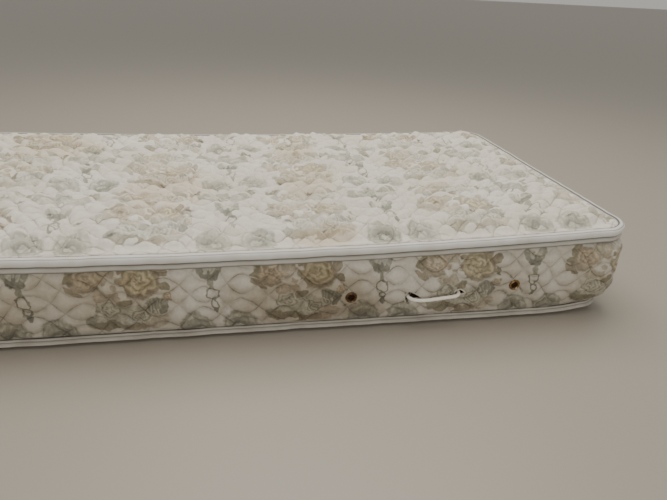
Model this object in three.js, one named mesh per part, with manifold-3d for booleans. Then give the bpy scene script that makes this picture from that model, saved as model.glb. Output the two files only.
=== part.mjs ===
// An old single mattress: quilted top panel, quilted side border round the filling, flat bottom panel,
// two taped edges, a cord handle and two brass ventilators. Millimetres, +Z up. Lengthways is X, and the
// side with the handle faces -Y.
import * as THREE from "three";
import { mergeVertices } from "three/addons/utils/BufferGeometryUtils.js";
import Module from "manifold-3d";

const wasm = await Module();
wasm.setup();

// Overall size, over the edge tapes.
const LENGTH = 1880;
const WIDTH = 880;
const CORNER_RADIUS = 64;
const HALF_LENGTH = LENGTH / 2;
const HALF_WIDTH = WIDTH / 2;

// The mattress has sagged at mid-length, more on the side with the handle. Heights above the bottom
// edge follow the pinched groove of the top tape.
const GROOVE_HEIGHT_AT_ENDS = 202;
const SAG_NEAR = 26;
const SAG_FAR = 13;

// The side border between its two seams.
const BORDER_BOTTOM = 20;
const BORDER_TOP_BELOW_GROOVE = 12;
const SEAM_INSET = 13; // how far the seams are drawn in from the outline
const BULGE_INSET = 5; // how far the middle of the border stays inside it
const CORNER_BULGE = 14; // how much further out the border stands at a corner
const CORNER_TUCK = 13; // extra inset of the bottom edge where a corner rolls under
const CORNER_LIFT = 7; // and how much the edge rises there
const CORNER_REACH = 190; // how far from a corner that is felt

// Quilting: rows of long puffs, each row half a pitch along from the next.
const SIDE_STEPS = 44; // steps along each straight side of the outline, two for each half pitch
const END_STEPS = 18;
const CORNER_STEPS = 4;
const BORDER_ROWS = 6;
const PUFF_PITCH_X = 80;
const PUFF_PITCH_Y = 50;
const BORDER_PUFF = 3.5;
const PANEL_PUFF = 5;

// The top panel, inside the tape.
const PANEL_INSET = 23;
const FLANGE_WIDTH = 14;
const FLANGE_ABOVE_GROOVE = 19;
const PANEL_CROWN = 19;
const CROWN_REACH = 28; // how far from the edge the crown has risen by two thirds

const TAPE_THICKNESS = 20; // from the outline inwards
const GAP = 0.3;
const CORE_HOLLOW = 1.5; // how far the core stays below the panel in the middle
const SPINE_END = HALF_LENGTH - HALF_WIDTH;
const CORD_SIDES = 8;
const TURNED_SIDES = 16;

// Ventilators and handle, on the near side: place along X and height.
const SEAT_Y = -HALF_WIDTH + 6; // the plane that the metal fittings sit on
const VENTS = { vent_left: [302, 79], vent_right: [674, 89] };
const VENT_RADIUS = 13;
const VENT_BARREL_RADIUS = 9;
const VENT_OPENING_RADIUS = 7.5;
const EYELET_AT = [546, 77];
const EYELET_RADIUS = 12;
const EYELET_BARREL_RADIUS = 10.5;
const EYELET_OPENING_RADIUS = 9;
const TORN_HOLE_AT = [435, 74];
const TORN_HOLE_HALF_SIZE = [22, 12];
const POCKET_DEPTH = 24;
const POCKET_FRONT = 12; // how far the cutters reach out of the border
const VENT_POCKET_DEPTH = 8;
const FLANGE_CLEARANCE = 1; // round a flange, and between the floor panel and the tape
const BARREL_CLEARANCE = 0.5;

// Pressed rings, as heights over the seat.
const BARREL_DEPTH = 6;
const FLANGE_HEIGHT = 2.6;
const FLANGE_LIP_HEIGHT = 2.2;
const FLANGE_BEVEL = 1.5;
const MESH_BACK = -4;
const MESH_FRONT = -2.4;
const CORD_DIAMETER = 8;
const CORD_ROUTE = [
  [431, -415, 72.5],
  [428.5, -424, 73.2],
  [427.5, -433, 73.6],
  [429.5, -440.5, 73.4],
  [435, -446, 72.8],
  [443, -449, 72.2],
  [454, -450.1, 71.7],
  [467, -450.3, 71.8],
  [481, -450.3, 72.8],
  [496, -450.3, 74.4],
  [510, -450.1, 75.6],
  [521, -449.5, 76.1],
  [530, -447.8, 76.4],
  [537.4, -444, 76.5],
  [542, -437.6, 76.6],
  [543.8, -430, 76.6],
  [544.3, -422.5, 76.5],
  [544.4, -415, 76.5],
];
const CORD_STEPS = 28;
// How far the handle stands out past the tapes.
const CORD_PROUD = CORD_DIAMETER / 2 - HALF_WIDTH - Math.min(...CORD_ROUTE.map((p) => p[1]));

const fabric = (color) => new THREE.MeshStandardMaterial({ color, roughness: 0.95, metalness: 0 });
const MATERIALS = {
  damask: fabric(0xc9c5b8),
  backing: fabric(0xb9b4a6),
  tape: fabric(0xc4c2bd),
  cord: fabric(0xddd8ca),
  brass: new THREE.MeshStandardMaterial({ color: 0x8a6a35, roughness: 0.5, metalness: 0.9 }),
  mesh: new THREE.MeshStandardMaterial({ color: 0x4a3420, roughness: 0.7, metalness: 0.7 }),
};

const smooth = (t) => {
  const c = Math.min(Math.max(t, 0), 1);
  return c * c * (3 - 2 * c);
};

/** Height of the top tape's groove over the plan point; the rest of the top follows it. */
function grooveAt({ x, y }) {
  const sag = (SAG_NEAR + SAG_FAR) / 2 - ((SAG_NEAR - SAG_FAR) / 2) * (y / HALF_WIDTH);
  return GROOVE_HEIGHT_AT_ENDS - sag * (1 - (x / HALF_LENGTH) ** 2);
}
const seamAt = (p) => grooveAt(p) - BORDER_TOP_BELOW_GROOVE;

/** 1 at a corner of the mattress, fading to 0 along both sides. */
function cornerness(x, y) {
  const along = smooth((Math.abs(x) - HALF_LENGTH + CORNER_REACH) / CORNER_REACH);
  const across = smooth((Math.abs(y) - HALF_WIDTH + CORNER_REACH) / CORNER_REACH);
  return along * across;
}

/** Distance from a point of the plan to the rounded outline, positive inside. */
function insideOutline(x, y) {
  const qx = Math.abs(x) - HALF_LENGTH + CORNER_RADIUS;
  const qy = Math.abs(y) - HALF_WIDTH + CORNER_RADIUS;
  const outside = Math.hypot(Math.max(qx, 0), Math.max(qy, 0));
  return CORNER_RADIUS - outside - Math.min(Math.max(qx, qy), 0);
}

/** Points round the outline with their outward normals, anticlockwise from the middle of the +X end. */
function outlinePoints() {
  const straightX = HALF_LENGTH - CORNER_RADIUS;
  const straightY = HALF_WIDTH - CORNER_RADIUS;
  const quarter = [];
  for (let k = 0; k < END_STEPS / 2; k++)
    quarter.push({ x: HALF_LENGTH, y: (2 * straightY * k) / END_STEPS, nx: 1, ny: 0 });
  for (let k = 0; k < CORNER_STEPS; k++) {
    const a = (Math.PI / 2) * (k / CORNER_STEPS);
    const [nx, ny] = [Math.cos(a), Math.sin(a)];
    quarter.push({ x: straightX + CORNER_RADIUS * nx, y: straightY + CORNER_RADIUS * ny, nx, ny });
  }
  for (let k = 0; k <= SIDE_STEPS / 2; k++)
    quarter.push({ x: straightX * (1 - (2 * k) / SIDE_STEPS), y: HALF_WIDTH, nx: 0, ny: 1 });
  const mirrored = quarter.slice(0, -1).reverse();
  const half = [...quarter, ...mirrored.map((p) => ({ ...p, x: -p.x, nx: -p.nx }))];
  const back = half.slice(1, -1).reverse();
  return [...half, ...back.map((p) => ({ ...p, y: -p.y, ny: -p.ny }))];
}
const OUTLINE = outlinePoints();

/** One ring round the mattress: inset and height are found for each point of the outline. */
function ring(insetAt, heightAt) {
  return OUTLINE.map((p, i) => {
    const inset = insetAt(p, i);
    const [x, y] = [p.x - inset * p.nx, p.y - inset * p.ny];
    return [x, y, heightAt({ x, y })];
  });
}

function geometryOf(vertices, triangles) {
  const geometry = new THREE.BufferGeometry();
  geometry.setAttribute("position", new THREE.Float32BufferAttribute(vertices.flat(), 3));
  geometry.setIndex(triangles.flat());
  geometry.computeVertexNormals();
  return geometry;
}

/** Faces of the wall between two rings of n vertices that start at those indices, outwards. */
function wall(low, high, n) {
  const faces = [];
  for (let i = 0; i < n; i++) {
    const j = (i + 1) % n;
    faces.push([low + i, low + j, high + j], [low + i, high + j, high + i]);
  }
  return faces;
}

/**
 * Closes the ring that starts at that vertex, from its points to a spine along the middle. Both ends
 * of the mattress fan out from the spine's end. The spine's vertices are added, and the faces returned.
 */
function cap(vertices, start, n, up, heightAt) {
  const spine = [];
  for (let i = 0; i <= n / 2; i++) {
    const x = Math.min(Math.max(vertices[start + i][0], -SPINE_END), SPINE_END);
    const last = vertices[spine[i - 1]];
    if (last && last[0] === x) {
      spine.push(spine[i - 1]);
      continue;
    }
    spine.push(vertices.length);
    vertices.push([x, 0, heightAt({ x, y: 0 })]);
  }
  const faces = [];
  for (let i = 0; i < n; i++) {
    const next = (i + 1) % n;
    const here = spine[Math.min(i, n - i)];
    const there = spine[Math.min(next, n - next)];
    faces.push([start + i, start + next, there]);
    if (here !== there) faces.push([start + i, there, here]);
  }
  return up ? faces : faces.map(([a, b, c]) => [a, c, b]);
}

/** A filled solid from rings stacked upwards, with the heights of its floor and its top in the middle. */
function stack(rings, floorAt, topAt) {
  const n = rings[0].length;
  const vertices = rings.flat();
  const faces = cap(vertices, 0, n, false, floorAt);
  for (let k = 0; k + 1 < rings.length; k++) faces.push(...wall(k * n, (k + 1) * n, n));
  faces.push(...cap(vertices, (rings.length - 1) * n, n, true, topAt));
  return geometryOf(vertices, faces);
}

/** A band round the mattress from the closed loop of its section, taken upwards on the outside. */
function band(rings) {
  const n = rings[0].length;
  const faces = [];
  for (let k = 0; k < rings.length; k++) faces.push(...wall(k * n, ((k + 1) % rings.length) * n, n));
  return geometryOf(rings.flat(), faces);
}

const bottomTuck = (p) => CORNER_TUCK * cornerness(p.x, p.y);
const bottomLift = (p) => CORNER_LIFT * cornerness(p.x, p.y);

/** The filled core: its sides are the quilted border, drawn in at both seams. */
function borderCore() {
  const rows = [];
  for (let row = 0; row <= BORDER_ROWS; row++) {
    const t = row / BORDER_ROWS;
    const drawnIn = (2 * t - 1) ** 4;
    const quilted = row > 0 && row < BORDER_ROWS ? BORDER_PUFF : 0;
    rows.push(
      ring(
        (p, i) => {
          const puff = Math.cos((Math.PI * i) / 2) * Math.cos(Math.PI * row) * quilted;
          const middle = BULGE_INSET - CORNER_BULGE * cornerness(p.x, p.y) ** 2;
          const base = middle + (SEAM_INSET - middle) * drawnIn;
          return base - puff + bottomTuck(p) * (1 - t) ** 4;
        },
        (p) => {
          const low = BORDER_BOTTOM + bottomLift(p);
          return low + t * (seamAt(p) - low);
        },
      ),
    );
  }
  return stack(
    rows,
    () => BORDER_BOTTOM,
    (p) => seamAt(p) - CORE_HOLLOW,
  );
}

/** Height of the quilted sleeping surface above the plan point. */
function panelHeight(x, y) {
  const fromEdge = insideOutline(x, y) - PANEL_INSET - FLANGE_WIDTH;
  const crown = fromEdge > 0 ? PANEL_CROWN * (1 - Math.exp(-fromEdge / CROWN_REACH)) : 0;
  const quilting = Math.cos((Math.PI * x) / PUFF_PITCH_X) * Math.cos((Math.PI * 2 * y) / PUFF_PITCH_Y);
  const puff = PANEL_PUFF * smooth(fromEdge / PUFF_PITCH_Y) * quilting;
  return grooveAt({ x, y }) + FLANGE_ABOVE_GROOVE + crown + puff;
}

/** Grid lines across the panel: its edge, its flange's stitch line, and the rows of the quilting. */
function gridLines(half, step) {
  const last = Math.floor((half - FLANGE_WIDTH - step / 2) / step) * step;
  const inner = [];
  for (let v = -last; v <= last; v += step) inner.push(v);
  return [-half, -half + FLANGE_WIDTH, ...inner, half - FLANGE_WIDTH, half];
}

/** The sleeping panel: a quilted, crowned sheet of padding with round corners. */
function topPanel() {
  const [halfX, halfY] = [HALF_LENGTH - PANEL_INSET, HALF_WIDTH - PANEL_INSET];
  const radius = CORNER_RADIUS - PANEL_INSET;
  const xs = gridLines(halfX, PUFF_PITCH_X / 2);
  const ys = gridLines(halfY, PUFF_PITCH_Y / 2);
  const [columns, rows] = [xs.length - 1, ys.length - 1];
  // The square corner of the grid is drawn in to a quarter circle.
  const rounded = (x, y) => {
    const a = Math.max(Math.abs(x) - halfX + radius, 0) / radius;
    const b = Math.max(Math.abs(y) - halfY + radius, 0) / radius;
    if (a === 0 || b === 0) return [x, y];
    const px = halfX - radius + radius * a * Math.sqrt(1 - (b * b) / 2);
    const py = halfY - radius + radius * b * Math.sqrt(1 - (a * a) / 2);
    return [Math.sign(x) * px, Math.sign(y) * py];
  };
  const at = (i, j) => j * (columns + 1) + i;
  const vertices = [];
  for (const y of ys)
    for (const x of xs) {
      const [px, py] = rounded(x, y);
      vertices.push([px, py, panelHeight(px, py)]);
    }
  const faces = [];
  for (let j = 0; j < rows; j++)
    for (let i = 0; i < columns; i++) {
      const [a, b, c, d] = [at(i, j), at(i + 1, j), at(i + 1, j + 1), at(i, j + 1)];
      faces.push([a, b, c], [a, c, d]);
    }
  const edge = [];
  for (let j = rows / 2; j < rows; j++) edge.push(at(columns, j));
  for (let i = columns; i > 0; i--) edge.push(at(i, rows));
  for (let j = rows; j > 0; j--) edge.push(at(0, j));
  for (let i = 0; i < columns; i++) edge.push(at(i, 0));
  for (let j = 0; j < rows / 2; j++) edge.push(at(columns, j));
  const [low, n] = [vertices.length, edge.length];
  for (const k of edge) {
    const [x, y] = vertices[k];
    vertices.push([x, y, seamAt({ x, y }) + GAP]);
  }
  edge.forEach((k, i) => {
    const next = (i + 1) % n;
    faces.push([low + i, low + next, edge[next]], [low + i, edge[next], k]);
  });
  faces.push(...cap(vertices, low, n, false, (p) => seamAt(p) + GAP));
  return geometryOf(vertices, faces);
}

/** The floor panel: flat underneath, filling the bottom tape's ring up to the core. */
function bottomPanel() {
  const inset = (p) => TAPE_THICKNESS + FLANGE_CLEARANCE + bottomTuck(p);
  const rings = [
    ring(inset, () => 0),
    ring(inset, () => BORDER_BOTTOM - GAP),
  ];
  return stack(
    rings,
    () => 0,
    () => BORDER_BOTTOM - GAP,
  );
}

/** The top tape: a lower leg on the border, the pinched groove, and the bead rolled over the edge. */
function topTape() {
  const leg = -BORDER_TOP_BELOW_GROOVE + GAP;
  const section = [
    [3, leg],
    [8, 0],
    [0, 10],
    [11, 22],
    [TAPE_THICKNESS, FLANGE_ABOVE_GROOVE],
    [TAPE_THICKNESS, leg],
  ];
  return band(section.map(([inset, up]) => ring(() => inset, (p) => grooveAt(p) + up)));
}

/** The bottom tape: a bead on the floor and a leg up to the border's seam. */
function bottomTape() {
  const section = [
    [8, 0],
    [4, 7],
    [9, BORDER_BOTTOM - GAP],
    [TAPE_THICKNESS, BORDER_BOTTOM - GAP],
    [TAPE_THICKNESS, 0],
  ];
  return band(
    section.map(([inset, up]) =>
      ring(
        (p) => inset + bottomTuck(p),
        (p) => up + bottomLift(p),
      ),
    ),
  );
}

/** A turned piece whose axis points out of the near side, with h = 0 on the seat plane. */
function turned(profile, [x, z]) {
  const points = profile.map(([r, h]) => new THREE.Vector2(r, h));
  const geometry = new THREE.LatheGeometry(points, TURNED_SIDES);
  return geometry.rotateX(Math.PI).translate(x, SEAT_Y, z);
}

/** Pressed ring with a rolled flange in front and a barrel behind; the profile runs upwards outside. */
function flangedRing(at, outer, barrel, opening) {
  const profile = [
    [opening, -BARREL_DEPTH],
    [barrel, -BARREL_DEPTH],
    [barrel, GAP],
    [outer, GAP],
    [outer - FLANGE_BEVEL, FLANGE_HEIGHT],
    [opening, FLANGE_LIP_HEIGHT],
    [opening, -BARREL_DEPTH],
  ];
  return turned(profile, at);
}

/** The ventilator's mesh, a disc that lies in the ring's barrel. */
function ventMesh(at) {
  const radius = VENT_OPENING_RADIUS - GAP;
  return turned(
    [
      [0, MESH_BACK],
      [radius, MESH_BACK],
      [radius, MESH_FRONT],
      [0, MESH_FRONT],
    ],
    at,
  );
}

/** A plug that cuts a pocket of that depth into the near side. */
function cutter([x, z], [halfX, halfZ], depth) {
  const geometry = new THREE.CylinderGeometry(1, 1, POCKET_FRONT + depth, TURNED_SIDES);
  geometry.scale(halfX, 1, halfZ);
  return geometry.translate(x, SEAT_Y - (POCKET_FRONT - depth) / 2, z);
}

function manifoldOf(geometry) {
  const bare = geometry.clone();
  bare.deleteAttribute("normal");
  bare.deleteAttribute("uv");
  const merged = mergeVertices(bare, 1e-3);
  const mesh = new wasm.Mesh({
    numProp: 3,
    vertProperties: merged.attributes.position.array,
    triVerts: new Uint32Array(merged.index.array),
  });
  return new wasm.Manifold(mesh);
}

function cut(geometry, cutters) {
  const result = cutters.reduce((solid, c) => solid.subtract(manifoldOf(c)), manifoldOf(geometry));
  const { vertProperties, triVerts } = result.getMesh();
  const made = new THREE.BufferGeometry();
  made.setAttribute("position", new THREE.BufferAttribute(new Float32Array(vertProperties), 3));
  made.setIndex(new THREE.BufferAttribute(new Uint32Array(triVerts), 1));
  made.computeVertexNormals();
  return made;
}

/** Pockets for the metal fittings and the holes that the handle's cord goes into. */
function fittingPockets() {
  const round = (radius) => [radius, radius];
  const cutters = [];
  for (const at of Object.values(VENTS)) {
    cutters.push(cutter(at, round(VENT_RADIUS + FLANGE_CLEARANCE), 0));
    cutters.push(cutter(at, round(VENT_BARREL_RADIUS + BARREL_CLEARANCE), VENT_POCKET_DEPTH));
  }
  cutters.push(cutter(EYELET_AT, round(EYELET_RADIUS + FLANGE_CLEARANCE), 0));
  cutters.push(cutter(EYELET_AT, round(EYELET_BARREL_RADIUS + BARREL_CLEARANCE), POCKET_DEPTH));
  cutters.push(cutter(TORN_HOLE_AT, TORN_HOLE_HALF_SIZE, POCKET_DEPTH));
  return cutters;
}

/** The handle: a round cord that comes out of the torn hole and goes back in at the eyelet. */
function handleCord() {
  const route = new THREE.CatmullRomCurve3(CORD_ROUTE.map((p) => new THREE.Vector3(...p)));
  const section = new THREE.Shape();
  for (let k = 0; k < CORD_SIDES; k++) {
    const a = (2 * Math.PI * k) / CORD_SIDES;
    const [x, y] = [(CORD_DIAMETER / 2) * Math.cos(a), (CORD_DIAMETER / 2) * Math.sin(a)];
    if (k === 0) section.moveTo(x, y);
    else section.lineTo(x, y);
  }
  section.closePath();
  return new THREE.ExtrudeGeometry(section, { extrudePath: route, steps: CORD_STEPS });
}

const mattress = new THREE.Group();
mattress.position.y = CORD_PROUD / 2; // the origin is under the middle of everything, handle included

function add(name, geometry, material) {
  const mesh = new THREE.Mesh(geometry, material);
  mesh.name = name;
  mattress.add(mesh);
}

add("border", cut(borderCore(), fittingPockets()), MATERIALS.damask);
add("top_panel", topPanel(), MATERIALS.damask);
add("bottom_panel", bottomPanel(), MATERIALS.backing);
add("top_tape", topTape(), MATERIALS.tape);
add("bottom_tape", bottomTape(), MATERIALS.tape);
add("handle_cord", handleCord(), MATERIALS.cord);
add(
  "handle_eyelet",
  flangedRing(EYELET_AT, EYELET_RADIUS, EYELET_BARREL_RADIUS, EYELET_OPENING_RADIUS),
  MATERIALS.brass,
);
for (const [name, at] of Object.entries(VENTS)) {
  const ringShape = flangedRing(at, VENT_RADIUS, VENT_BARREL_RADIUS, VENT_OPENING_RADIUS);
  add(name + "_ring", ringShape, MATERIALS.brass);
  add(name + "_mesh", ventMesh(at), MATERIALS.mesh);
}

export default mattress;
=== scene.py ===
# %% [markdown]
# # An old quilted single mattress
#
# The mattress lies on a pale floor. Its sleeping panel and its side border are quilted cloth over
# soft filling, woven tapes bind both edges, and the near side has a cord handle and two brass
# ventilators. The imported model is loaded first, and every piece is then made round it, in metres.

# %% Load the frame
import math

import bpy
import numpy as np
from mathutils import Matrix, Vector


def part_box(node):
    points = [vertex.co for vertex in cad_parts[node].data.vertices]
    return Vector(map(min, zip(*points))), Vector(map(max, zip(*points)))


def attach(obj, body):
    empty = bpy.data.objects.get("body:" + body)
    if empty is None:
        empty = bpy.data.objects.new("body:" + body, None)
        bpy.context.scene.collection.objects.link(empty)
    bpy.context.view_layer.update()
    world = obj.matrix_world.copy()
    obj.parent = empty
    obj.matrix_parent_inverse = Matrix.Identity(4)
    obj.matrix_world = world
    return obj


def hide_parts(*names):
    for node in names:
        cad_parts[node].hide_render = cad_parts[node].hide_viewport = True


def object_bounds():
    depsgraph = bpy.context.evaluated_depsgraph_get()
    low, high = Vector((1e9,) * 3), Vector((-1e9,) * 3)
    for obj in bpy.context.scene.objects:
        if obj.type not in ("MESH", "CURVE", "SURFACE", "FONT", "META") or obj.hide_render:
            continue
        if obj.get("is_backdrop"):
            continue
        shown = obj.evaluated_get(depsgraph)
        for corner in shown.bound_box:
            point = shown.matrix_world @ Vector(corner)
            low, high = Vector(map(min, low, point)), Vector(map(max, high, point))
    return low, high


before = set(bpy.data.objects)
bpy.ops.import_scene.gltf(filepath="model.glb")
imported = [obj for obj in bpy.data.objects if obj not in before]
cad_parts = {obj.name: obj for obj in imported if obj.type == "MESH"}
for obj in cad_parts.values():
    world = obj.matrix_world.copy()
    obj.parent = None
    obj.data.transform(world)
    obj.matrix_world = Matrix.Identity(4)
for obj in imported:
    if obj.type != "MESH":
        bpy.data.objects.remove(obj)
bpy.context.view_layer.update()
bpy.ops.object.select_all(action="DESELECT")
print("frame:", sorted(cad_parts))

# %% [markdown]
# ## Camera
#
# The camera comes first, because it decides how fine each piece has to be. It stands at knee
# height near the handle and looks down along the mattress, turned a little to the right.

# %% Camera
CAMERA_PLACE = (0.0739, -1.3512, 0.6587)
CAMERA_TURN = [math.radians(a) for a in (63.677, -2.595, -10.011)]
CAMERA_LENS_MM = 28.27

bpy.ops.object.camera_add(location=CAMERA_PLACE, rotation=CAMERA_TURN)
camera = bpy.context.object
camera.data.sensor_width = 36
camera.data.lens = CAMERA_LENS_MM
bpy.context.scene.camera = camera

# %% [markdown]
# ## Light and floor
#
# A wide lamp overhead, a little behind the mattress, makes the top bright and leaves the near side
# in soft shade. A pale world fills the shade, and a second wide lamp in front is only a fill.

# %% Light and floor
FLOOR_SIZE, FLOOR_DROP = 400, 0.0002  # the drop keeps it off the mattress's own underside


def linear(hex_colour):
    """An sRGB hex colour as the linear values that a shader takes, opaque."""
    parts = [int(hex_colour[i : i + 2], 16) / 255 for i in (1, 3, 5)]
    return (*[p / 12.92 if p <= 0.04045 else ((p + 0.055) / 1.055) ** 2.4 for p in parts], 1.0)


def feed(tree, node, inputs):
    """Feeds a node. An input takes a number, a hex colour, an output or a node's first live one."""
    for socket, value in inputs.items() if isinstance(inputs, dict) else enumerate(inputs):
        if isinstance(value, str):
            value = linear(value)
        if isinstance(value, bpy.types.Node):
            value = next(out for out in value.outputs if out.enabled)
        if isinstance(value, bpy.types.NodeSocket):
            tree.links.new(value, node.inputs[socket])
        else:
            node.inputs[socket].default_value = value


def add_node(tree, kind, inputs=(), **settings):
    """Adds a shader node of that kind, whose second word is its operation, and feeds it."""
    kind, *operation = kind.split()
    made = tree.nodes.new("ShaderNode" + kind)
    if operation:
        made.operation = operation[0]
    for name, value in settings.items():
        setattr(made, name, value)
    feed(tree, made, inputs)
    return made


def new_material(name):
    """A material with an empty tree but for its output and its shader, and that tree and shader."""
    material = bpy.data.materials.new(name)
    material.use_nodes = True
    tree = material.node_tree
    return material, tree, tree.nodes["Principled BSDF"]


def wide_lamp(name, place, aim, size, power, colour):
    """A square lamp at that place, turned to face the aim."""
    bpy.ops.object.light_add(type="AREA", location=place)
    lamp = bpy.context.object
    lamp.name = name
    lamp.data.size = size
    lamp.data.energy = power
    lamp.data.color = linear(colour)[:3]
    lamp.rotation_euler = (Vector(aim) - Vector(place)).to_track_quat("-Z", "Y").to_euler()


wide_lamp("ceiling_lamp", (0.3, 0.5, 2.6), (0.1, 0.1, 0.1), 2.6, 80, "#fff8ee")
wide_lamp("front_fill", (0.3, -3.2, 0.9), (0.1, -0.3, 0.1), 1.6, 26, "#fdf7f0")

world = bpy.data.worlds.new("pale_room")
bpy.context.scene.world = world
world.use_nodes = True
tree = world.node_tree
feed(tree, tree.nodes["Background"], {"Color": "#f1ede6", "Strength": 0.52})

bpy.ops.mesh.primitive_plane_add(size=FLOOR_SIZE, location=(0, 0, -FLOOR_DROP))
floor = bpy.context.object
floor.name = "floor"
floor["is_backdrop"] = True
# Polished floor tile: even, pale and slightly glossy, so that the mattress shows faintly in it.
material, tree, shader = new_material("polished_floor")
feed(tree, shader, {"Base Color": "#9e988d", "Roughness": 0.42})
floor.data.materials.append(material)
print("lamps and floor:", len(bpy.data.lights), "lamps")

# %% [markdown]
# ## The outline and the heights
#
# All the sewn pieces follow one rounded outline in plan and one sagging line, the groove where the
# top tape is stitched down. These functions give both, so every piece can be rolled round the
# mattress from a flat strip. Sizes are in metres.

# %% Outline and heights
MM = 0.001
tape_low, tape_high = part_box("top_tape")
HALF_LENGTH = (tape_high.x - tape_low.x) / 2
HALF_WIDTH = (tape_high.y - tape_low.y) / 2
MIDDLE_Y = (tape_high.y + tape_low.y) / 2
CORNER_RADIUS = 0.064
GROOVE_AT_ENDS = 0.202  # height of the stitched groove at the ends of the mattress
SAG_NEAR, SAG_FAR = 0.026, 0.013  # how far each long side sags in its middle
BORDER_BOTTOM, SEAM_BELOW_GROOVE = 0.020, 0.012
SEAM_INSET, BULGE_INSET = 0.013, 0.005  # the border's seams, and its belly between them
CORNER_BULGE, CORNER_TUCK, CORNER_LIFT, CORNER_REACH = 0.0165, 0.013, 0.007, 0.190
PANEL_INSET, FLANGE_WIDTH, FLANGE_ABOVE_GROOVE = 0.023, 0.014, 0.019
FLANGE_LAP = 0.008  # how far the flange laps over the tape's inner edge
PANEL_CROWN, CROWN_REACH = 0.019, 0.028

STRAIGHT_X, STRAIGHT_Y = HALF_LENGTH - CORNER_RADIUS, HALF_WIDTH - CORNER_RADIUS
QUARTER = math.pi / 2 * CORNER_RADIUS
STOPS = np.cumsum(
    [0, STRAIGHT_X, QUARTER, 2 * STRAIGHT_Y, QUARTER, 2 * STRAIGHT_X, QUARTER, 2 * STRAIGHT_Y]
    + [QUARTER, STRAIGHT_X]
)
PERIMETER = STOPS[-1]
FACING = np.radians([-90, -90, 0, 0, 90, 90, 180, 180, 270, 270])
CENTRE_X = STRAIGHT_X * np.array([0, 1, 1, 1, 1, -1, -1, -1, -1, 0])
CENTRE_Y = STRAIGHT_Y * np.array([-1, -1, -1, 1, 1, 1, 1, -1, -1, -1])


def outline(u, inset):
    """Plan points at distances u along the outline, from the middle of the near side, moved inwards."""
    at = np.mod(u, PERIMETER)
    facing = np.interp(at, STOPS, FACING)
    reach = CORNER_RADIUS - inset
    x = np.interp(at, STOPS, CENTRE_X) + reach * np.cos(facing)
    y = np.interp(at, STOPS, CENTRE_Y) + reach * np.sin(facing)
    return x, y


def smooth(t):
    """A soft step from 0 to 1."""
    t = np.clip(t, 0, 1)
    return t * t * (3 - 2 * t)


def groove_height(x, y):
    """The sagging line along which the top tape is stitched down."""
    sag = (SAG_NEAR + SAG_FAR) / 2 - (SAG_NEAR - SAG_FAR) / 2 * y / HALF_WIDTH
    return GROOVE_AT_ENDS - sag * (1 - (x / HALF_LENGTH) ** 2)


def cornerness(x, y):
    """1 at a corner of the mattress, fading to 0 along both sides."""
    along = smooth((np.abs(x) - HALF_LENGTH + CORNER_REACH) / CORNER_REACH)
    across = smooth((np.abs(y) - HALF_WIDTH + CORNER_REACH) / CORNER_REACH)
    return along * across


def inside_outline(x, y):
    """Distance from a plan point to the outline, positive inside."""
    qx = np.abs(x) - STRAIGHT_X
    qy = np.abs(y) - STRAIGHT_Y
    outside = np.hypot(np.maximum(qx, 0), np.maximum(qy, 0))
    return CORNER_RADIUS - outside - np.minimum(np.maximum(qx, qy), 0)


print("outline: %.3f m round, %.3f x %.3f m" % (PERIMETER, 2 * HALF_LENGTH, 2 * HALF_WIDTH))

# %% [markdown]
# ## Quilting
#
# The quilting machine sews wavy lines in pairs that cross, and between them the filling stands up
# in long almond puffs. Near a stitch line the cloth is pulled in steeply, and in the middle of a
# puff it is almost flat, so the height grows with the distance to both lines. Old filling is
# lumpy, so a few slow waves with seeded directions are added.

# %% Quilting
# Wave length of a stitch line, its swing and offset, the pitch of the rows, and how far a line's
# pull is felt. The panel's cloth was sewn on a coarser setting than the border's.
BORDER_QUILTING = (0.160, 0.0315, 0.0125, 0.050, 0.0065)
PANEL_QUILTING = (0.142, 0.0310, 0.0140, 0.055, 0.0075)
PIT_STAGGER = (0.108, -0.151)  # where one of the panel's deep stitch knots lies
PIT_SPACING = (0.141, 0.110)
PUCKER_REACH = PIT_REACH = 0.010
LUMP_WAVES = 18


def stitch_distance(u, v, side, pattern):
    """Distance to the nearest stitch line of one family, on the flat cloth."""
    wave, swing, offset, pitch, _ = pattern
    phase = 2 * math.pi * u / wave
    slope = swing * 2 * math.pi / wave * np.sin(phase)
    off = np.mod(v - side * (offset - swing * np.cos(phase)) + pitch / 2, pitch) - pitch / 2
    return np.abs(off) / np.sqrt(1 + slope**2)


def puff(u, v, pattern):
    """Height of the quilting from 0 in a stitch line to almost 1 in the middle of a puff."""
    d1, d2 = [stitch_distance(u, v, side, pattern) for side in (1, -1)]
    return (1 - np.exp(-d1 / pattern[4])) * (1 - np.exp(-d2 / pattern[4]))


def pucker(u, v, pattern):
    """1 on a stitch line, fading within a centimetre, where the cloth is gathered."""
    return np.exp(-np.minimum(*[stitch_distance(u, v, side, pattern) for side in (1, -1)])
                  / PUCKER_REACH)


def pits(u, v):
    """1 at each knot of the panel's stitching, in staggered rows, fading round it."""
    total = np.zeros_like(u)
    for shift in (0, 0.5):
        du = (u - PIT_STAGGER[0]) / PIT_SPACING[0] - shift
        dv = (v - PIT_STAGGER[1]) / PIT_SPACING[1] - shift
        du, dv = (du - np.rint(du)) * PIT_SPACING[0], (dv - np.rint(dv)) * PIT_SPACING[1]
        total += np.exp(-np.hypot(du, 1.3 * dv) / PIT_REACH)
    return total


def lumps(u, v, size, seed):
    """Slow waves in seeded directions, about 1 high, whose bumps are about that size."""
    rng = np.random.default_rng(seed)
    total = np.zeros_like(u)
    for turn, length, phase in 2 * math.pi * rng.random((LUMP_WAVES, 3)):
        k = math.pi / (size * (0.7 + length / (2 * math.pi)))
        total += np.sin(k * (u * np.cos(turn) + v * np.sin(turn)) + phase)
    return total / 3


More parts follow.
